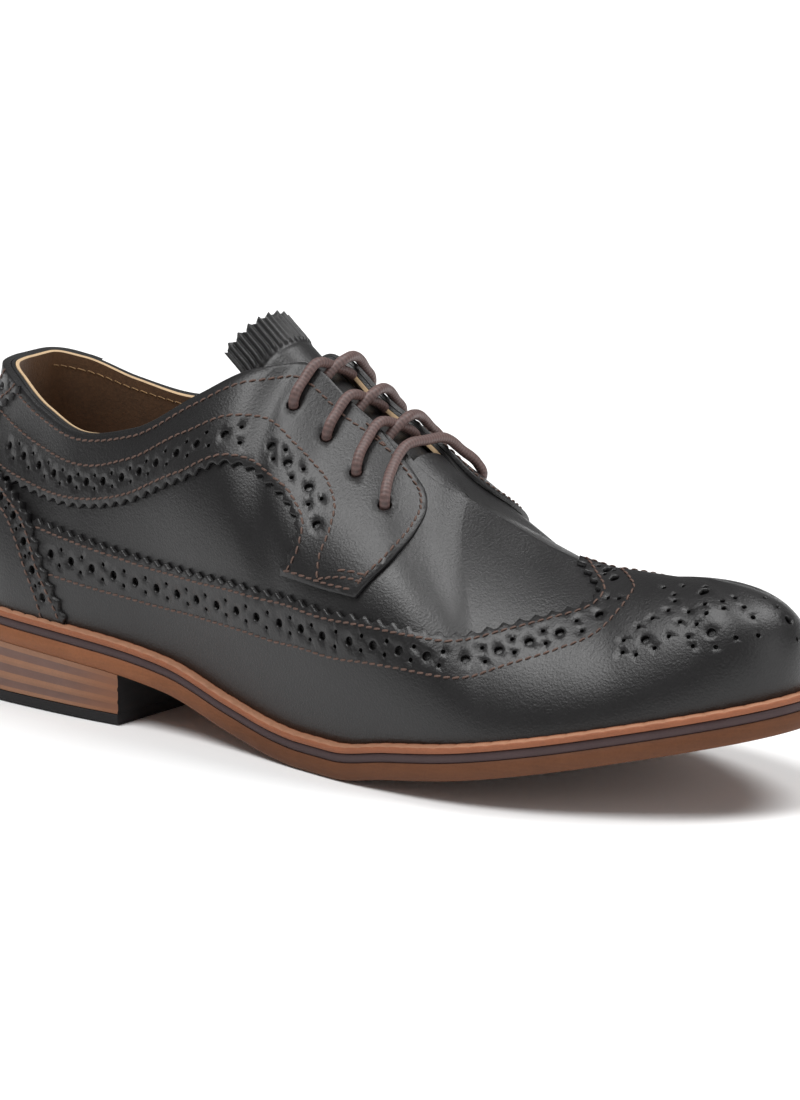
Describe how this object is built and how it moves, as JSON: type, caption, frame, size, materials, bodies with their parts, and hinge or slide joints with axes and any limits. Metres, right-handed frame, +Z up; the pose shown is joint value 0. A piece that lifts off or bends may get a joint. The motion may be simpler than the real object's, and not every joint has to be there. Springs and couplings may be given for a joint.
{
  "type": "wingtip oxford shoe",
  "caption": "Low lace-up dress shoe with a long punched wing cap, open facings, pinked tongue, stitched welt and a low stacked heel.",
  "frame": {"origin": "centre of the heel's tread face, on the floor", "axes": "+X from heel to toe, +Y to the medial side, +Z up"},
  "size_m": [0.293, 0.099, 0.1227],
  "materials": {
    "outsole": "matte, fine grain",
    "midsole": "matte edge",
    "welt": "waxed edge, stitched",
    "heel_stack": "stacked look with ridges",
    "heel_top_lift": "matte",
    "upper": "smooth grain, semi gloss",
    "wing_cap": "smooth grain, semi gloss",
    "lateral_facing": "smooth grain, semi gloss",
    "medial_facing": "smooth grain, semi gloss",
    "heel_strip": "smooth grain, semi gloss",
    "insole": "dull tan",
    "tongue": "smooth grain, semi gloss",
    "lace_bar": "waxed round cord",
    "lace_cross_1": "waxed round cord",
    "lace_cross_2": "waxed round cord",
    "lace_cross_3": "waxed round cord"
  },
  "bodies": {
    "root": {"outsole": "outsole", "midsole": "midsole", "welt": "welt", "heel_stack": "heel_stack", "heel_top_lift": "heel_top_lift", "upper": "upper", "wing_cap": "wing_cap", "lateral_facing": "lateral_facing", "medial_facing": "medial_facing", "heel_strip": "heel_strip", "insole": "insole", "tongue": "tongue", "lace_bar": "lace_bar", "lace_cross_1": "lace_cross_1", "lace_cross_2": "lace_cross_2", "lace_cross_3": "lace_cross_3"}
  },
  "joints": []
}
